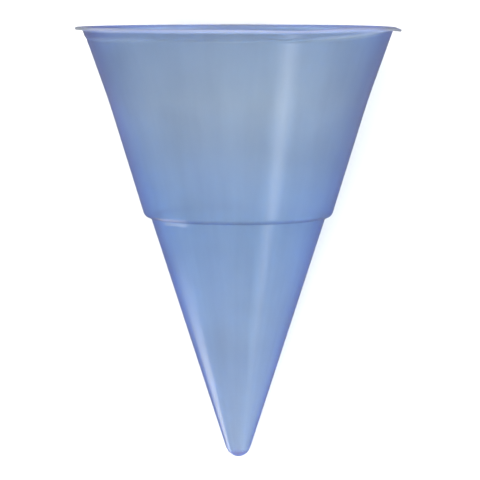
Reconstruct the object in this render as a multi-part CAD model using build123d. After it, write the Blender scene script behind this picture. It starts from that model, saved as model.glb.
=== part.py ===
from build123d import *
from math import acos, asin, atan2, cos, degrees, hypot, pi, sin, tan
import os

# A cone-shaped drinking cup, formed from one sheet of plastic: an upper wall with two drafts,
# a rounded shoulder, a slimmer cone below it, a ball-shaped tip and a flat flange round the mouth.
# It can't stand on its tip, so it lies on its side: the flange's edge and the tip touch the floor.

# Driving dimensions, in millimetres. Heights run along the cup's axis, from the tip.
overall_height = 96.0
flange_diameter = 72.0
flange_width = 1.8  # how far the flange stands out from the wall
flange_thickness = 0.6
shoulder_height = 53.9
shoulder_diameter = 41.4  # outside of the upper wall, carried down to the shoulder
shoulder_radius = 1.5  # outside; the inside follows it at the wall's thickness
ledge_width = 0.2  # flat underside of the shoulder, between its rounding and the lower cone
bend_depth = 16.0  # from the mouth down to where the upper wall changes its draft
bend_inset = 0.5  # how far the wall lies there inside a straight one
mouth_chamfer = 0.5  # between the wall's inside and the flange's top
tip_radius = 2.8
tip_thickness = 1.2  # the tip is thicker than the wall, and its floor is flat inside
wall_thickness = 0.4

# The section is drawn on one side of the axis, so it measures each diameter as a reach from there
flange_reach = flange_diameter / 2
mouth_reach = flange_reach - flange_width
shoulder_reach = shoulder_diameter / 2
flange_underside = overall_height - flange_thickness
bend_height = overall_height - bend_depth
straight_slope = (mouth_reach - shoulder_reach) / (flange_underside - shoulder_height)
bend_reach = shoulder_reach + straight_slope * (bend_height - shoulder_height) - bend_inset

# The shoulder's rounding turns from the draft of the wall above it to the flat ledge
lower_draft = atan2(bend_reach - shoulder_reach, bend_height - shoulder_height)
shoulder_run = shoulder_radius * tan((pi / 2 - lower_draft) / 2)
cone_reach = shoulder_reach - shoulder_run - ledge_width


def nearest_corner(section, reach, height):
    return section.vertices().sort_by_distance((reach, height))[0]


def box(low_reach, low_height, high_reach, high_height):
    """A rectangle of the section between two corners."""
    size = Rectangle(high_reach - low_reach, high_height - low_height, align=Align.MIN)
    return Pos(low_reach, low_height) * size


def tip_outline():
    """The ball-shaped tip, from the axis to where the lower cone touches it."""
    up_from_centre = shoulder_height - tip_radius
    to_shoulder = hypot(cone_reach, up_from_centre)
    touch_angle = atan2(up_from_centre, cone_reach) - acos(tip_radius / to_shoulder)
    return CenterArc((0, tip_radius), tip_radius, -90, 90 + degrees(touch_angle))


def wall_outline(start):
    """The outside of the wall, from the tip to where it runs out through the flange."""
    wall = Polyline(
        start,
        (cone_reach, shoulder_height),
        (shoulder_reach, shoulder_height),
        (bend_reach, bend_height),
        (mouth_reach, flange_underside),
    )
    run_out = PolarLine(wall @ 1, flange_thickness + wall_thickness, direction=wall % 1)
    return [*wall.edges(), *run_out.edges()]


def cup_section():
    """The whole sheet, cut through its axis: reach from the axis to the right, height upwards."""
    tip = tip_outline()
    outside = Wire([*tip.edges(), *wall_outline(tip @ 1)])
    wall = make_face(offset(outside, wall_thickness, side=Side.LEFT, kind=Kind.INTERSECTION))
    wall &= box(0, 0, flange_reach, overall_height)
    floor = Pos(0, tip_radius) * Circle(tip_radius) & box(0, 0, tip_radius, tip_thickness)
    flange = box(mouth_reach, flange_underside, flange_reach, overall_height)
    sheet = wall + flange + floor

    shoulder = nearest_corner(sheet, shoulder_reach, shoulder_height)
    sheet = fillet(shoulder, shoulder_radius)
    shoulder_inside = nearest_corner(
        sheet, shoulder_reach - wall_thickness, shoulder_height + wall_thickness
    )
    sheet = fillet(shoulder_inside, shoulder_radius - wall_thickness)
    mouth = nearest_corner(sheet, mouth_reach - wall_thickness, overall_height)
    sheet = chamfer(mouth, mouth_chamfer)
    return sheet


def lean():
    """The angle between the lying cup's axis and the floor, in radians: the floor touches the
    tip's ball and the lower edge of the flange."""
    edge_above_ball = flange_underside - tip_radius
    apart = hypot(flange_reach, edge_above_ball)
    return atan2(flange_reach, edge_above_ball) - asin(tip_radius / apart)


def lay_down(upright):
    """Turns the cup from standing on its tip to lying with its mouth towards +Y, and puts the
    origin on the floor, under the middle of its length."""
    angle = lean()
    tip_end = tip_radius * (cos(angle) - 1)
    mouth_end = cos(angle) * overall_height + sin(angle) * flange_reach
    tip_lift = tip_radius * (1 - sin(angle))
    return Pos(0, -(tip_end + mouth_end) / 2, tip_lift) * Rot(X=degrees(angle) - 90) * upright


cup = lay_down(revolve(Plane.XZ * cup_section(), Axis.Z))

os.makedirs("parts", exist_ok=True)
export_step(cup, "parts/cup.step")
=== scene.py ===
"""A cone cup of thin translucent plastic, lying on its side on a pale studio floor.

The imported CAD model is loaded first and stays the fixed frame: the detailed cup takes the place of
its one node, and shows the fine roundings, the slight warp of the rim and the moulded finish.
"""

import math

import bmesh
import bpy
from bpy.props import FloatProperty, FloatVectorProperty, IntProperty, PointerProperty
from mathutils import Matrix, Vector


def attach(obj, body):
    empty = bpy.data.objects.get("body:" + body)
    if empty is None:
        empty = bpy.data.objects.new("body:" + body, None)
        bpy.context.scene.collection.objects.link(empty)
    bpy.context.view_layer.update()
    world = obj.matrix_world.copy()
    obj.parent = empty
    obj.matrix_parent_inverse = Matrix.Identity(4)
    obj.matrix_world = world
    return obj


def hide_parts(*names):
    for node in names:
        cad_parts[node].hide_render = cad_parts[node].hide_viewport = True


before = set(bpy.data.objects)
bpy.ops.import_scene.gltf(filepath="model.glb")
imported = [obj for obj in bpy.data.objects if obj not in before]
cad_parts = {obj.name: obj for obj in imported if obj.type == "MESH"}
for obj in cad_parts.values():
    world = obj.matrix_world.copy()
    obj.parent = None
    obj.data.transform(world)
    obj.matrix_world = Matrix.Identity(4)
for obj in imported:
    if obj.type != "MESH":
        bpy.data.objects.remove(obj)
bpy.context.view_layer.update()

bl_info = {
    "name": "Cone cup",
    "version": (1, 0, 0),
    "blender": (4, 5, 0),
    "location": "View3D > Sidebar > Cone cup",
    "description": "Makes a translucent cone cup that lies on its side, and a studio round it",
    "category": "Object",
}

CUP_NODE = "cup"

# how finely the section's outline is divided, with lengths in metres
WIDEST_STEP = 0.003
SHORTEST_DIVIDED_RUN = 0.0003
BESIDE_ROUNDING = 0.00008
ROUNDING_STEP = math.radians(9)
OUTER_BALL_STEPS = 48
INNER_BALL_STEPS = 10

# the outside near the rim is divided more finely, for its band and thin line
RIM_REACH = 0.006
RIM_STEP = 0.00012

# a point of the outline that is nearer to the axis than this lies on it
ON_AXIS = 1e-7

# the lower edge of the band under the flange rises to the right by this power of the cosine
BAND_RISE_POWER = 3

# the scales of the plastic's noise, how far it changes along the cup, and its usual range
CLOUD_SCALE = 55
STREAK_SCALE = 9
STREAK_STRETCH = 6
WAVE_SCALE = 28
WAVE_STRETCH = 5
USUAL_NOISE = (0.25, 0.75)

# how far the streaks move the skin's roughness up and down
SATIN_SPREAD = 0.06

# the share of the height from which the haze keeps the mouth's colour
MOUTH_SHARE = 0.97

# how strongly the skin shines on a line up the cup: (share of the height, strength)
SHINE_ON_LINE = (
    (0.07, 1.0), (0.14, 0.75), (0.22, 0.7), (0.36, 0.22), (0.5, 0.0), (0.985, 0.0), (0.994, 0.3)
)
# the same in two thin arcs, below the step and on its rounding: (share above the step, strength)
SHINE_ON_STEP = (
    (-0.009, 0.0), (-0.006, 0.6), (-0.004, 0.6), (-0.002, 0.0),
    (0.0005, 0.0), (0.002, 0.9), (0.004, 0.9), (0.008, 0.0),
)
# the same along the lower edge of the band under the flange
SHINE_ON_BAND = ((0.966, 0.0), (0.971, 1.0), (0.976, 1.0), (0.981, 0.1))

# how dark the board's grain is at its darkest, and how high it stands, in metres
DARKEST_GRAIN = 0.98
BOARD_TOOTH = 0.00005

# how far up the cup's axis the lights aim, in metres
LIGHT_AIM = 0.055


def length(name, description, default):
    """A length property, in metres, with its default given in millimetres."""
    return FloatProperty(
        name=name, description=description, default=default / 1000, min=0, unit="LENGTH", precision=5
    )


def angle(name, description, default):
    """An angle property, with its default given in degrees."""
    return FloatProperty(
        name=name, description=description, default=math.radians(default), subtype="ANGLE"
    )


def share(name, description, default):
    """A property between 0 and 1."""
    return FloatProperty(
        name=name, description=description, default=default, min=0, max=1, subtype="FACTOR"
    )


def colour(name, description, default):
    """A colour property."""
    return FloatVectorProperty(
        name=name, description=description, default=default, size=3, min=0, max=1, subtype="COLOR"
    )


class CupSizes(bpy.types.PropertyGroup):
    """The cup's sizes. Heights run along its own axis, from the tip."""

    overall_height: length("Overall height", "From the tip to the flange's top", 96.0)
    flange_diameter: length("Flange diameter", "Outside of the flange", 72.0)
    flange_width: length("Flange width", "How far the flange stands out from the wall", 1.8)
    flange_thickness: length("Flange thickness", "Thickness of the flange", 0.6)
    shoulder_height: length("Shoulder height", "Height of the shoulder's underside", 53.9)
    shoulder_diameter: length("Shoulder diameter", "Upper wall, carried to the shoulder", 41.4)
    shoulder_radius: length("Shoulder radius", "Outer rounding of the shoulder", 1.5)
    ledge_width: length("Ledge width", "Flat part of the shoulder's underside", 0.2)
    bend_depth: length("Bend depth", "From the mouth to where the wall changes its draft", 16.0)
    bend_inset: length("Bend inset", "How far the bend lies inside a straight wall", 0.5)
    bend_radius: length("Bend radius", "Rounding between the wall's two drafts", 180.0)
    tip_radius: length("Tip radius", "Outer radius of the ball-shaped tip", 2.8)
    tip_thickness: length("Tip thickness", "Thickness of the tip, under its flat floor", 1.2)
    wall_thickness: length("Wall thickness", "Thickness of the wall", 0.4)
    tip_ring_depth: length("Tip ring depth", "Depth of the fine rings turned in the tip", 0.12)
    tip_ring_width: length("Tip ring width", "Half the width of such a ring", 0.16)
    tip_ring_low: length("Lower tip ring", "Its height", 1.5)
    tip_ring_high: length("Upper tip ring", "Its height", 2.9)
    flange_edge_radius: length("Flange edge radius", "Rounding of the flange's edge", 0.26)
    flange_root_radius: length("Flange root radius", "Between the wall and the flange", 0.5)
    mouth_radius: length("Mouth radius", "Between the wall's inside and the flange's top", 0.9)
    shoulder_root_radius: length("Shoulder root radius", "Between the ledge and the cone", 0.22)
    turns: IntProperty(name="Turns", description="Faces round the cup", default=192, min=24)


class RimWarp(bpy.types.PropertyGroup):
    """How the thin rim has warped. Directions run round the cup from its right side, past its top."""

    droop: length("Droop", "How far the right edge of the flange hangs", 0.5)
    droop_spread: angle("Droop spread", "How far round the rim the droop reaches", 22)
    lift: length("Lift", "How far the rim rises beside the droop", 0.25)
    lift_direction: angle("Lift direction", "Where the rim rises", 42)
    lift_spread: angle("Lift spread", "How far round the rim the rise reaches", 14)
    sag: length("Sag", "How far the rim sags next to the rise", 0.25)
    sag_direction: angle("Sag direction", "Where the rim sags", 70)
    sag_spread: angle("Sag spread", "How far round the rim the sag reaches", 12)
    reach_down: length("Reach down", "How far down the wall the warp fades out", 6.0)
    band_depth: length("Band depth", "How deep the thicker band under the flange is", 2.0)
    band_rise: length("Band rise", "How far the band's lower edge rises to the right", 2.1)
    band_relief: length("Band relief", "How far the band stands out from the wall", 0.18)
    band_edge: length("Band edge", "Over what height the band runs out", 0.5)
    groove: length("Groove", "How deep the thin line below the band is", 0.06)
    groove_width: length("Groove width", "Half the width of that line", 0.22)
    pinch: length("Pinch", "How much deeper that line is where the rim is pulled out", 0.12)
    pinch_direction: angle("Pinch direction", "Where the rim is pulled out", 42)
    pinch_spread: angle("Pinch spread", "How far round the rim it is pulled out", 26)


class CupFinish(bpy.types.PropertyGroup):
    """The blue plastic: haze in the wall and the depth of its colour, under a satin skin."""

    haze_at_tip: colour("Haze at tip", "Colour of the haze near the tip", (0.83, 0.86, 0.82))
    haze_at_step: colour("Haze at step", "Colour of the haze round the shoulder", (0.58, 0.7, 0.74))
    haze_at_bend: colour("Haze at bend", "Colour of the haze at the wall's bend", (0.705, 0.735, 0.69))
    haze_at_mouth: colour("Haze at mouth", "Colour of the haze near the mouth", (0.585, 0.64, 0.64))
    haze_at_flange: colour("Haze at flange", "Colour of the haze in the flange", (0.58, 0.645, 0.71))
    depth_colour: colour("Depth colour", "Colour that light takes in the wall", (0.405, 0.63, 0.91))
    depth: FloatProperty(
        name="Depth", description="How fast the wall colours light, per metre", default=2350.0, min=0
    )
    clarity: share("Clarity", "How much light passes the wall", 0.915)
    flange_clarity: share("Flange clarity", "How much light passes the thicker flange", 0.77)
    refraction: FloatProperty(
        name="Refraction", description="Index of refraction of the thin wall", default=1.03, min=1
    )
    roughness: share("Roughness", "Satin of the surface", 0.36)
    skin: share("Skin", "How strongly the moulded skin shines", 0.015)
    skin_refraction: FloatProperty(
        name="Skin refraction", description="Index of refraction of the skin", default=2.8, min=1
    )
    gloss: share("Gloss", "How strongly the skin shines where the mould was polished", 0.9)
    gloss_direction: angle("Gloss direction", "Where that is, round the cup", 142)
    gloss_spread: angle("Gloss spread", "How far round the cup it reaches", 12)
    step_gloss_direction: angle("Step gloss direction", "Middle of the shine on the step", 136)
    step_gloss_spread: angle("Step gloss spread", "How far round the step it reaches", 16)
    rim_gloss: share("Rim gloss", "How strongly the pulled out rim shines", 0.26)
    rim_gloss_direction: angle("Rim gloss direction", "Where that is, round the cup", 40)
    rim_gloss_spread: angle("Rim gloss spread", "How far round the cup it reaches", 26)
    skin_roughness: share("Skin roughness", "How soft that shine is", 0.25)
    streaks: share("Streaks", "How strongly the lengthwise drawing streaks show", 0.05)
    clouds: share("Clouds", "How much the haze varies in soft patches", 0.1)
    ripple: length("Ripple", "Height of the skin's fine waves", 0.004)


class StudioSettings(bpy.types.PropertyGroup):
    """Floor, lights and camera."""

    floor_size: length("Floor size", "Side of the floor", 4000.0)
    floor_colour: colour("Floor colour", "Colour of the pale board", (0.55, 0.55, 0.55))
    ambient: FloatProperty(name="Ambient", description="Light from all round", default=0.8, min=0)
    overhead: FloatProperty(name="Overhead", description="Power, in watts", default=45.0, min=0)
    overhead_turn: angle("Overhead turn", "How far it stands to the right of the camera", -10)
    key: FloatProperty(name="Key light", description="Power, in watts", default=3.3, min=0)
    strip: FloatProperty(name="Strip light", description="Power, in watts", default=0.05, min=0)
    camera_distance: length("Camera distance", "From the cup's axis, square to it", 560.0)
    camera_height: length("Camera height", "Along the cup's axis, from the tip", 104.3)
    camera_pitch: angle("Camera pitch", "How far it looks down towards the tip", 5.67)
    camera_yaw: angle("Camera yaw", "How far it looks to the left", -0.04)
    focal_length: FloatProperty(
        name="Focal length", description="Lens, in millimetres", default=189.7, min=1
    )


def rounded(corners):
    """The outline through corners, each given as (reach, height, radius), with its roundings."""
    outline = [Vector(corners[0][:2])]
    for before, (reach, height, radius), after in zip(corners, corners[1:], corners[2:]):
        corner = Vector((reach, height))
        back = (Vector(before[:2]) - corner).normalized()
        on = (Vector(after[:2]) - corner).normalized()
        half_opening = back.angle(on) / 2
        run = radius / math.tan(half_opening)
        centre = corner + (back + on).normalized() * (radius / math.sin(half_opening))
        turn = math.pi - 2 * half_opening
        steps = max(3, math.ceil(turn / ROUNDING_STEP))
        start = corner + back * run - centre
        sense = 1 if back.cross(on) < 0 else -1
        arc = [
            centre + Matrix.Rotation(sense * turn * i / steps, 2) @ start
            for i in range(steps + 1)
        ]
        outline += straight(outline[-1], arc[0]) + arc
    outline += straight(outline[-1], Vector(corners[-1][:2]))
    outline.append(Vector(corners[-1][:2]))
    return outline


def straight(start, end):
    """Points between start and end, close together at the ends, where a rounding begins."""
    way = end - start
    if way.length < SHORTEST_DIVIDED_RUN:
        return []
    near = BESIDE_ROUNDING / way.length
    steps = max(2, math.ceil(way.length / WIDEST_STEP))
    shares = [near] + [i / steps for i in range(1, steps)] + [1 - near]
    return [start + way * share_of_way for share_of_way in shares]


def finer(outline, from_height, step):
    """The outline with points no further apart than step on the outside above a height."""
    finished = [outline[0]]
    for start, end in zip(outline, outline[1:]):
        way = end - start
        if min(start.y, end.y) > from_height and end.y > start.y:
            pieces = math.ceil(way.length / step)
            finished += [start + way * i / pieces for i in range(1, pieces)]
        finished.append(end)
    return finished


class Section:
    """The cup's section, on one side of its axis, from its sizes."""

    def __init__(self, sizes):
        self.sizes = sizes
        self.top = sizes.overall_height
        self.underside = self.top - sizes.flange_thickness
        self.flange = sizes.flange_diameter / 2
        self.mouth = self.flange - sizes.flange_width
        self.shoulder = sizes.shoulder_diameter / 2
        self.bend_height = self.top - sizes.bend_depth
        slope = (self.mouth - self.shoulder) / (self.underside - sizes.shoulder_height)
        climb = self.bend_height - sizes.shoulder_height
        self.bend = self.shoulder + slope * climb - sizes.bend_inset
        draft = math.atan2(self.bend - self.shoulder, climb)
        run = sizes.shoulder_radius * math.tan((math.pi / 2 - draft) / 2)
        self.cone = self.shoulder - run - sizes.ledge_width

    def outside(self):
        """Corners of the outside, from the shoulder's root to the flange's upper edge."""
        sizes = self.sizes
        return [
            (self.cone, sizes.shoulder_height, sizes.shoulder_root_radius),
            (self.shoulder, sizes.shoulder_height, sizes.shoulder_radius),
            (self.bend, self.bend_height, sizes.bend_radius),
            (self.mouth, self.underside, sizes.flange_root_radius),
            (self.flange, self.underside, sizes.flange_edge_radius),
            (self.flange, self.top, sizes.flange_edge_radius),
        ]

    def inside(self):
        """Corners of the inside, from the mouth down to the shoulder's root."""
        sizes = self.sizes
        wall = sizes.wall_thickness
        root_corner = (self.cone, sizes.shoulder_height)
        step_corner = (self.shoulder, sizes.shoulder_height)
        bend_corner = (self.bend, self.bend_height)
        mouth_corner = (self.mouth, self.underside)
        low = offset_corner(self.touch(), root_corner, step_corner, wall)
        step = offset_corner(root_corner, step_corner, bend_corner, wall)
        bend = offset_corner(step_corner, bend_corner, mouth_corner, wall)
        upper = Vector(mouth_corner) - Vector(bend_corner)
        mouth = bend + upper * ((self.top - bend.y) / upper.y)
        return [
            (*mouth, sizes.mouth_radius),
            (*bend, sizes.bend_radius + wall),
            (*step, sizes.shoulder_radius - wall),
            (*low, sizes.shoulder_root_radius + wall),
        ]

    def touch(self):
        """Where the lower cone touches the outside of the ball-shaped tip."""
        turn = self.touch_turn()
        radius = self.sizes.tip_radius
        return (radius * math.cos(turn), radius + radius * math.sin(turn))

    def touch_turn(self):
        """The direction of that place, seen from the ball's centre."""
        up = self.sizes.shoulder_height - self.sizes.tip_radius
        apart = math.hypot(self.cone, up)
        return math.atan2(up, self.cone) - math.acos(self.sizes.tip_radius / apart)

    def ball(self, radius, start, end, steps):
        """Points of a ball in the tip, from one direction to another."""
        centre = Vector((0, self.sizes.tip_radius))
        turns = [start + (end - start) * i / steps for i in range(steps + 1)]
        return [centre + radius * Vector((math.cos(a), math.sin(a))) for a in turns]

    def outline(self):
        """The whole section, from the tip's outside, round the flange, to the tip's floor inside."""
        sizes = self.sizes
        touch_turn = self.touch_turn()
        outer_ball = self.ball(sizes.tip_radius, -math.pi / 2, touch_turn, OUTER_BALL_STEPS)
        inner_radius = sizes.tip_radius - sizes.wall_thickness
        floor_turn = math.asin((sizes.tip_thickness - sizes.tip_radius) / inner_radius)
        inner_ball = self.ball(inner_radius, touch_turn, floor_turn, INNER_BALL_STEPS)
        walls = rounded(
            [(*outer_ball[-1], 0), *self.outside(), *self.inside(), (*inner_ball[0], 0)]
        )
        walls = finer(walls, self.top - RIM_REACH, RIM_STEP)
        floor = Vector((0, sizes.tip_thickness))
        return outer_ball[:-1] + walls + inner_ball[1:] + [floor]


def offset_corner(before, corner, after, distance):
    """The corner of an outline, moved in by distance to the left of the way along it."""
    before, corner, after = Vector(before), Vector(corner), Vector(after)
    way_in = (corner - before).normalized()
    way_on = (after - corner).normalized()
    left_in = Vector((-way_in.y, way_in.x))
    left_on = Vector((-way_on.y, way_on.x))
    middle = (left_in + left_on).normalized()
    return corner + middle * (distance / middle.dot(left_in))


def lying(section):
    """Turns points of the upright cup, in metres, to where it lies in the CAD model."""
    edge_above_ball = section.underside - section.sizes.tip_radius
    apart = math.hypot(section.flange, edge_above_ball)
    lean = math.atan2(section.flange, edge_above_ball) - math.asin(section.sizes.tip_radius / apart)
    tip_end = section.sizes.tip_radius * (math.cos(lean) - 1)
    mouth_end = math.cos(lean) * section.top + math.sin(lean) * section.flange
    tip_lift = section.sizes.tip_radius * (1 - math.sin(lean))
    place = Matrix.Translation((0, -(tip_end + mouth_end) / 2, tip_lift))
    return place @ Matrix.Rotation(lean - math.pi / 2, 4, "X")


def fade(value):
    """From 0 to 1 as value does, with a soft start and end."""
    value = min(max(value, 0), 1)
    return value * value * (3 - 2 * value)


def hump(direction, middle, spread):
    """A smooth hump round the rim, 1 at its middle."""
    apart = (direction - middle + math.pi) % (2 * math.pi) - math.pi
    return math.exp(-((apart / spread) ** 2))


def warped(reach, height, direction, section, warp, outer):
    """A point of the section after the rim's warp. On the outside it also gets the band under the
    flange, with the thin line below it, and the rings round the tip."""
    near_rim = fade(1 - (section.top - height) / warp.reach_down)
    out = fade((reach - section.mouth) / (section.flange - section.mouth))
    height -= warp.droop * hump(direction, 0, warp.droop_spread) * out * near_rim
    height += warp.lift * hump(direction, warp.lift_direction, warp.lift_spread) * near_rim
    height -= warp.sag * hump(direction, warp.sag_direction, warp.sag_spread) * near_rim
    if outer and height < 2 * section.sizes.tip_radius:
        for ring in (section.sizes.tip_ring_low, section.sizes.tip_ring_high):
            beside_ring = (height - ring) / section.sizes.tip_ring_width
            reach -= section.sizes.tip_ring_depth * math.exp(-(beside_ring ** 2))
    if outer:
        to_right = max(0, math.cos(direction)) ** BAND_RISE_POWER
        lower_edge = section.underside - warp.band_depth + warp.band_rise * to_right
        reach += warp.band_relief * fade((height - lower_edge) / warp.band_edge) * (1 - out)
        pinched = hump(direction, warp.pinch_direction, warp.pinch_spread)
        below = (height - lower_edge) / (warp.groove_width * (1 + pinched))
        reach -= (warp.groove + warp.pinch * pinched) * math.exp(-(below ** 2))
    return reach, height


def cup_mesh(sizes, warp):
    """The thin shell of the cup as one closed mesh, turned round its axis."""
    section = Section(sizes)
    outline = section.outline()
    mouth_point = max(range(len(outline)), key=lambda i: outline[i].x)
    shell = bmesh.new()
    rings = []
    for number, point in enumerate(outline):
        if point.x < ON_AXIS:
            rings.append([shell.verts.new((0, 0, point.y))])
            continue
        ring = []
        for turn in range(sizes.turns):
            direction = 2 * math.pi * turn / sizes.turns
            reach, height = warped(*point, direction, section, warp, number <= mouth_point)
            ring.append(
                shell.verts.new((reach * math.cos(direction), -reach * math.sin(direction), height))
            )
        rings.append(ring)
    for lower, upper in zip(rings, rings[1:]):
        for turn in range(sizes.turns):
            onward = (turn + 1) % sizes.turns
            corners = [lower[turn % len(lower)], lower[onward % len(lower)],
                       upper[onward % len(upper)], upper[turn % len(upper)]]
            shell.faces.new(list(dict.fromkeys(corners)))
    unwrap(shell, outline, sizes.turns)
    bmesh.ops.transform(shell, matrix=lying(section), verts=shell.verts)
    bmesh.ops.recalc_face_normals(shell, faces=shell.faces)
    mesh = bpy.data.meshes.new("cone_cup")
    shell.to_mesh(mesh)
    shell.free()
    mesh.shade_smooth()
    return mesh


def unwrap(shell, outline, turns):
    """A flat map of the shell: across goes round the cup, up goes along the section."""
    layer = shell.loops.layers.uv.new("round_and_along")
    along = [0.0]
    for start, end in zip(outline, outline[1:]):
        along.append(along[-1] + (end - start).length)
    for number, face in enumerate(shell.faces):
        row, turn = divmod(number, turns)
        low, high = along[row] / along[-1], along[row + 1] / along[-1]
        if len(face.loops) == 4:
            places = [(turn, low), (turn + 1, low), (turn + 1, high), (turn, high)]
        elif row == 0:
            places = [(turn + 0.5, low), (turn + 1, high), (turn, high)]
        else:
            places = [(turn, low), (turn + 1, low), (turn + 0.5, high)]
        for loop, (across, up) in zip(face.loops, places):
            loop[layer].uv = (across / turns, up)


def nodes_of(material):
    """An emptied node tree, with shorthands to add a node and to link two sockets."""
    material.use_nodes = True
    tree = material.node_tree
    tree.nodes.clear()

    def add(kind, **values):
        node = tree.nodes.new(kind)
        for name, value in values.items():
            if name in node.inputs:
                node.inputs[name].default_value = value
            else:
                setattr(node, name, value)
        return node

    return add, tree.links.new


def calculated(add, link, operation, *values):
    """The result of a math node. Each value is a number or a socket."""
    node = add("ShaderNodeMath", operation=operation)
    for value, socket in zip(values, node.inputs):
        if isinstance(value, bpy.types.NodeSocket):
            link(value, socket)
        else:
            socket.default_value = value
    return node.outputs["Value"]


def mapped(add, link, value, from_range, to_range=(0, 1), smooth=False):
    """A value carried from one range to another, and held at that range's ends."""
    node = add("ShaderNodeMapRange", interpolation_type="SMOOTHSTEP" if smooth else "LINEAR")
    node.inputs["From Min"].default_value, node.inputs["From Max"].default_value = from_range
    node.inputs["To Min"].default_value, node.inputs["To Max"].default_value = to_range
    link(value, node.inputs["Value"])
    return node.outputs["Result"]


def upright_place(add, link, section):
    """Each point's place on the upright cup, in metres: across it in X and Y, up its axis in Z."""
    from_lying = lying(section).inverted()
    place = add("ShaderNodeTexCoord")
    upright = add("ShaderNodeMapping")
    upright.inputs["Rotation"].default_value = from_lying.to_euler()
    upright.inputs["Location"].default_value = from_lying.to_translation()
    link(place.outputs["Object"], upright.inputs["Vector"])
    return upright.outputs["Vector"]


def away_from_axis(add, link, upright):
    """The direction in which each point lies from the cup's axis, as a vector one long."""
    across = add("ShaderNodeVectorMath", operation="MULTIPLY")
    across.inputs[1].default_value = (1, 1, 0)
    link(upright, across.inputs[0])
    direction = add("ShaderNodeVectorMath", operation="NORMALIZE")
    link(across.outputs["Vector"], direction.inputs[0])
    return direction.outputs["Vector"]


def nearness(add, link, away, direction):
    """1 where a point lies in that direction from the axis, 0 at its sides and -1 opposite."""
    nearness_to = add("ShaderNodeVectorMath", operation="DOT_PRODUCT")
    nearness_to.inputs[1].default_value = (math.cos(direction), -math.sin(direction), 0)
    link(away, nearness_to.inputs[0])
    return nearness_to.outputs["Value"]


def towards(add, link, away, direction, spread):
    """1 on the line up the cup that lies in a direction round it, and 0 beyond the spread."""
    near = nearness(add, link, away, direction)
    return mapped(add, link, near, (math.cos(spread), 1), smooth=True)


def drawn_streaks(add, link, upright, away, scale, stretch):
    """Noise that changes quickly round the cup and slowly along it, as in sheet that was drawn."""
    place = add("ShaderNodeVectorMath", operation="MULTIPLY_ADD")
    place.inputs[1].default_value = (0, 0, stretch)
    link(upright, place.inputs[0])
    link(away, place.inputs[2])
    noise = add("ShaderNodeTexNoise", Scale=scale, Detail=3, Roughness=0.55)
    link(place.outputs["Vector"], noise.inputs["Vector"])
    return noise.outputs["Fac"]


def around_one(add, link, noise, strength):
    """Noise as a factor that varies round one by up to about the strength."""
    return mapped(add, link, noise, USUAL_NOISE, (1 - strength, 1 + strength))


def along_height(add, link, share_of_height, colours):
    """A colour that changes along the cup, from colours given as (share of the height, colour)."""
    ramp = add("ShaderNodeValToRGB")
    stops = ramp.color_ramp.elements
    while len(stops) < len(colours):
        stops.new(0.5)
    # places before colours, because a moved stop can change its number
    for stop, (place, _) in zip(stops, colours):
        stop.position = place
    for stop, (_, colour_there) in zip(stops, colours):
        stop.color = (*colour_there, 1)
    ramp.color_ramp.interpolation = "LINEAR"
    link(share_of_height, ramp.inputs["Fac"])
    return ramp.outputs["Color"]


def shine_along(add, link, share_of_height, levels, lift=0):
    """How strongly the skin shines along the cup, from levels as (share of the height, strength)."""
    greys = [(place + lift, (strength, strength, strength)) for place, strength in levels]
    return along_height(add, link, share_of_height, greys)


def haze_colour(add, link, finish, section, upright, share_of_height, at_flange, streaks):
    """The haze's colour along the cup, which patches and streaks lighten and darken a little."""
    along_cup = along_height(add, link, share_of_height, [
        (0, finish.haze_at_tip),
        (section.sizes.shoulder_height / section.top, finish.haze_at_step),
        (section.bend_height / section.top, finish.haze_at_bend),
        (MOUTH_SHARE, finish.haze_at_mouth),
    ])
    whole = add("ShaderNodeMix", data_type="RGBA")
    link(at_flange, whole.inputs["Factor"])
    link(along_cup, whole.inputs["A"])
    whole.inputs["B"].default_value = (*finish.haze_at_flange, 1)

    clouds = add("ShaderNodeTexNoise", Scale=CLOUD_SCALE, Detail=2, Roughness=0.5)
    link(upright, clouds.inputs["Vector"])
    cloud_level = around_one(add, link, clouds.outputs["Fac"], finish.clouds)
    streak_level = around_one(add, link, streaks, finish.streaks)
    varied = add("ShaderNodeVectorMath", operation="SCALE")
    link(whole.outputs["Result"], varied.inputs["Vector"])
    link(calculated(add, link, "MULTIPLY", cloud_level, streak_level), varied.inputs["Scale"])
    return varied.outputs["Vector"]


def skin_shine(add, link, finish, section, warp, away, share_of_height):
    """How strongly the skin shines: more on one line up the cup, at the step, and along the lower
    edge of the band under the flange."""
    line = towards(add, link, away, finish.gloss_direction, finish.gloss_spread)
    on_line = shine_along(add, link, share_of_height, SHINE_ON_LINE)
    step = towards(add, link, away, finish.step_gloss_direction, finish.step_gloss_spread)
    step_share = section.sizes.shoulder_height / section.top
    on_step = shine_along(add, link, share_of_height, SHINE_ON_STEP, lift=step_share)

    # the band's lower edge rises to the right, as it does in the shell
    to_right = calculated(add, link, "MAXIMUM", nearness(add, link, away, 0), 0)
    rising = calculated(add, link, "POWER", to_right, BAND_RISE_POWER)
    lowered = -warp.band_rise / section.top
    level_share = calculated(add, link, "MULTIPLY_ADD", rising, lowered, share_of_height)
    on_edge = shine_along(add, link, level_share, SHINE_ON_BAND)
    corner = towards(add, link, away, finish.rim_gloss_direction, finish.rim_gloss_spread)
    other_corner = towards(add, link, away, finish.gloss_direction, 2 * finish.gloss_spread)

    whole = finish.skin
    for along_cup, round_cup, strength in (
        (on_line, line, finish.gloss),
        (on_step, step, finish.gloss),
        (on_edge, corner, finish.rim_gloss),
        (on_edge, other_corner, finish.rim_gloss / 2),
    ):
        patch = calculated(add, link, "MULTIPLY", along_cup, round_cup)
        whole = calculated(add, link, "MULTIPLY_ADD", patch, strength, whole)
    return whole


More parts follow.
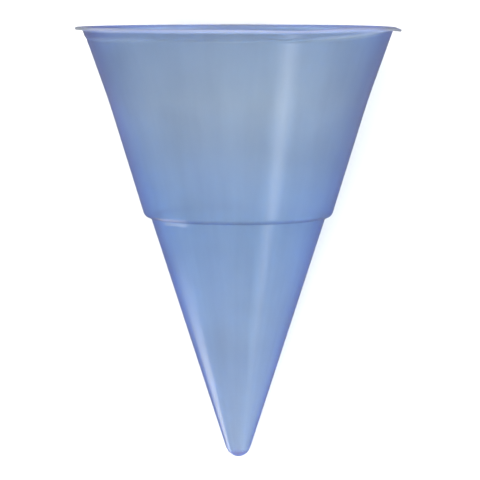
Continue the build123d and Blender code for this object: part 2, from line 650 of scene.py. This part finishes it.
def plastic_material(finish, section, warp):
    """Hazy blue plastic with a satin skin. The haze is greyer near the mouth and lighter towards
    the tip, and faint streaks run along the cup."""
    material = bpy.data.materials.new("hazy_blue_plastic")
    add, link = nodes_of(material)
    output = add("ShaderNodeOutputMaterial")
    plastic = add("ShaderNodeBsdfPrincipled")
    plastic.inputs["IOR"].default_value = finish.refraction
    plastic.inputs["Coat IOR"].default_value = finish.skin_refraction
    plastic.inputs["Coat Roughness"].default_value = finish.skin_roughness
    link(plastic.outputs["BSDF"], output.inputs["Surface"])

    upright = upright_place(add, link, section)
    away = away_from_axis(add, link, upright)
    parts = add("ShaderNodeSeparateXYZ")
    link(upright, parts.inputs["Vector"])
    height = parts.outputs["Z"]
    share_of_height = mapped(add, link, height, (0, section.top))
    streaks = drawn_streaks(add, link, upright, away, STREAK_SCALE, STREAK_STRETCH)

    # the flange is thicker than the wall, so it is hazier and lets less light pass
    flange_begins = section.underside - section.sizes.flange_thickness
    at_flange = mapped(add, link, height, (flange_begins, section.underside), smooth=True)
    clarity = mapped(add, link, at_flange, (0, 1), (finish.clarity, finish.flange_clarity))
    link(clarity, plastic.inputs["Transmission Weight"])
    haze = haze_colour(
        add, link, finish, section, upright, share_of_height, at_flange, streaks
    )
    link(haze, plastic.inputs["Base Color"])

    # the satin skin: rougher and smoother streaks, fine waves and glossy patches
    satin = (finish.roughness - SATIN_SPREAD, finish.roughness + SATIN_SPREAD)
    link(mapped(add, link, streaks, (0, 1), satin), plastic.inputs["Roughness"])
    waves = add("ShaderNodeBump", Strength=1)
    waves.inputs["Distance"].default_value = finish.ripple
    fine_streaks = drawn_streaks(add, link, upright, away, WAVE_SCALE, WAVE_STRETCH)
    link(fine_streaks, waves.inputs["Height"])
    link(waves.outputs["Normal"], plastic.inputs["Normal"])
    link(waves.outputs["Normal"], plastic.inputs["Coat Normal"])
    shine = skin_shine(add, link, finish, section, warp, away, share_of_height)
    link(shine, plastic.inputs["Coat Weight"])

    # the colour that light takes on its way through the wall
    depth = add("ShaderNodeVolumeAbsorption")
    depth.inputs["Color"].default_value = (*finish.depth_colour, 1)
    depth.inputs["Density"].default_value = finish.depth
    link(depth.outputs["Volume"], output.inputs["Volume"])
    return material


def floor_material(studio):
    """Matte studio board: a faint grain in its colour and surface."""
    material = bpy.data.materials.new("studio_board")
    add, link = nodes_of(material)
    output = add("ShaderNodeOutputMaterial")
    board = add("ShaderNodeBsdfPrincipled")
    board.inputs["Roughness"].default_value = 0.9
    board.inputs["Specular IOR Level"].default_value = 0.1
    link(board.outputs["BSDF"], output.inputs["Surface"])
    place = add("ShaderNodeTexCoord")
    grain = add("ShaderNodeTexNoise", Scale=900, Detail=3, Roughness=0.6)
    link(place.outputs["Object"], grain.inputs["Vector"])
    shade = add("ShaderNodeMix", data_type="RGBA")
    shade.inputs["A"].default_value = (*(DARKEST_GRAIN * part for part in studio.floor_colour), 1)
    shade.inputs["B"].default_value = (*studio.floor_colour, 1)
    link(grain.outputs["Fac"], shade.inputs["Factor"])
    link(shade.outputs["Result"], board.inputs["Base Color"])
    tooth = add("ShaderNodeBump", Strength=0.3)
    tooth.inputs["Distance"].default_value = BOARD_TOOTH
    link(grain.outputs["Fac"], tooth.inputs["Height"])
    link(tooth.outputs["Normal"], board.inputs["Normal"])
    return material


def make_floor(context, studio):
    """The pale board that the cup lies on."""
    half = studio.floor_size / 2
    corners = [(-half, -half, 0), (half, -half, 0), (half, half, 0), (-half, half, 0)]
    mesh = bpy.data.meshes.new("studio_floor")
    mesh.from_pydata(corners, [], [(0, 1, 2, 3)])
    mesh.materials.append(floor_material(studio))
    floor = bpy.data.objects.new("studio_floor", mesh)
    context.collection.objects.link(floor)


def set_ambient(context, studio):
    """White light from all round."""
    world = bpy.data.worlds.new("studio_light")
    world.use_nodes = True
    background = world.node_tree.nodes["Background"]
    background.inputs["Color"].default_value = (1, 1, 1, 1)
    background.inputs["Strength"].default_value = studio.ambient
    context.scene.world = world


def area_light(context, name, watts, size, place, target, along):
    """A soft rectangular light that faces the target, with its length along a direction."""
    light = bpy.data.lights.new(name, "AREA")
    light.shape = "RECTANGLE"
    light.size, light.size_y = size
    light.energy = watts
    lamp = bpy.data.objects.new(name, light)
    back = (place - target).normalized()
    across = along.cross(back).normalized()
    facing = Matrix((across, back.cross(across), back)).transposed().to_4x4()
    lamp.matrix_world = Matrix.Translation(place) @ facing
    context.collection.objects.link(lamp)


def place_lights(context, studio, lie):
    """The soft lights round the lying cup, all aimed at its middle."""
    target = lie @ Vector((0, 0, LIGHT_AIM))
    turned = lie.to_3x3()
    along = turned @ Vector((0, 0, 1))

    def shine(name, watts, size, turn, drop, far):
        """A light turned round the cup to the right of the camera and down towards the tip."""
        out = far * math.cos(drop)
        away = Vector((out * math.sin(turn), -out * math.cos(turn), -far * math.sin(drop)))
        area_light(context, name, watts, size, target + turned @ away, target, along)

    shine("overhead", studio.overhead, size=(1.4, 1.4), turn=studio.overhead_turn, drop=0, far=1.2)
    shine("key", studio.key, size=(0.09, 0.15), far=0.7,
          turn=math.radians(44), drop=math.radians(34))
    shine("strip", studio.strip, size=(0.02, 0.08), far=0.25,
          turn=math.radians(-85), drop=math.radians(30))


def place_camera(context, studio, lie):
    """The camera, which sees the lying cup from the side, with its tip down."""
    camera = bpy.data.cameras.new("camera")
    camera.lens = studio.focal_length
    camera.sensor_width = 36
    camera.clip_start = 0.01
    eye = bpy.data.objects.new("camera", camera)
    turned = lie.to_3x3()
    right, out, up = (turned @ Vector(way) for way in ((1, 0, 0), (0, -1, 0), (0, 0, 1)))
    upright = Matrix((right, up, out)).transposed().to_4x4()
    pitch = Matrix.Rotation(-studio.camera_pitch, 4, "X")
    yaw = Matrix.Rotation(studio.camera_yaw, 4, "Y")
    place = lie @ Vector((0, -studio.camera_distance, studio.camera_height))
    eye.matrix_world = Matrix.Translation(place) @ upright @ pitch @ yaw
    context.collection.objects.link(eye)
    context.scene.camera = eye
    context.scene.view_settings.view_transform = "Standard"


class MakeCup(bpy.types.Operator):
    """Makes the cup's shell and its plastic, in place of the CAD model's cup"""

    bl_idname = "cone_cup.make_cup"
    bl_label = "Make the cup"

    def execute(self, context):
        settings = context.scene
        mesh = cup_mesh(settings.cup_sizes, settings.rim_warp)
        cup = bpy.data.objects.new("cone_cup", mesh)
        context.collection.objects.link(cup)
        section = Section(settings.cup_sizes)
        mesh.materials.append(plastic_material(settings.cup_finish, section, settings.rim_warp))
        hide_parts(CUP_NODE)
        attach(cup, "root")
        return {"FINISHED"}


class SetStage(bpy.types.Operator):
    """Sets the pale floor, the soft lights and the camera"""

    bl_idname = "cone_cup.set_stage"
    bl_label = "Set the stage"

    def execute(self, context):
        studio = context.scene.studio
        lie = lying(Section(context.scene.cup_sizes))
        make_floor(context, studio)
        set_ambient(context, studio)
        place_lights(context, studio, lie)
        place_camera(context, studio, lie)
        return {"FINISHED"}


class ConeCupPanel(bpy.types.Panel):
    """Lists the cup's steps and sizes in the sidebar"""

    bl_idname = "VIEW3D_PT_cone_cup"
    bl_label = "Cone cup"
    bl_space_type = "VIEW_3D"
    bl_region_type = "UI"
    bl_category = "Cone cup"

    def draw(self, context):
        column = self.layout.column()
        for operator in OPERATORS:
            column.operator(operator.bl_idname)
        for name in SETTINGS:
            column.separator()
            group = getattr(context.scene, name)
            for setting in group.bl_rna.properties:
                if not setting.is_readonly and setting.identifier != "name":
                    column.prop(group, setting.identifier)


SETTINGS = {
    "cup_sizes": CupSizes, "rim_warp": RimWarp, "cup_finish": CupFinish, "studio": StudioSettings
}
OPERATORS = (MakeCup, SetStage)
CLASSES = (*SETTINGS.values(), *OPERATORS, ConeCupPanel)


def register():
    """Adds the operators, the panel and the scene's settings."""
    for cls in CLASSES:
        bpy.utils.register_class(cls)
    for name, group in SETTINGS.items():
        setattr(bpy.types.Scene, name, PointerProperty(type=group))


def unregister():
    """Takes away what register added."""
    for name in SETTINGS:
        delattr(bpy.types.Scene, name)
    for cls in reversed(CLASSES):
        bpy.utils.unregister_class(cls)


def main():
    """Makes everything once."""
    register()
    bpy.ops.cone_cup.make_cup()
    bpy.ops.cone_cup.set_stage()


if __name__ == "__main__":
    main()
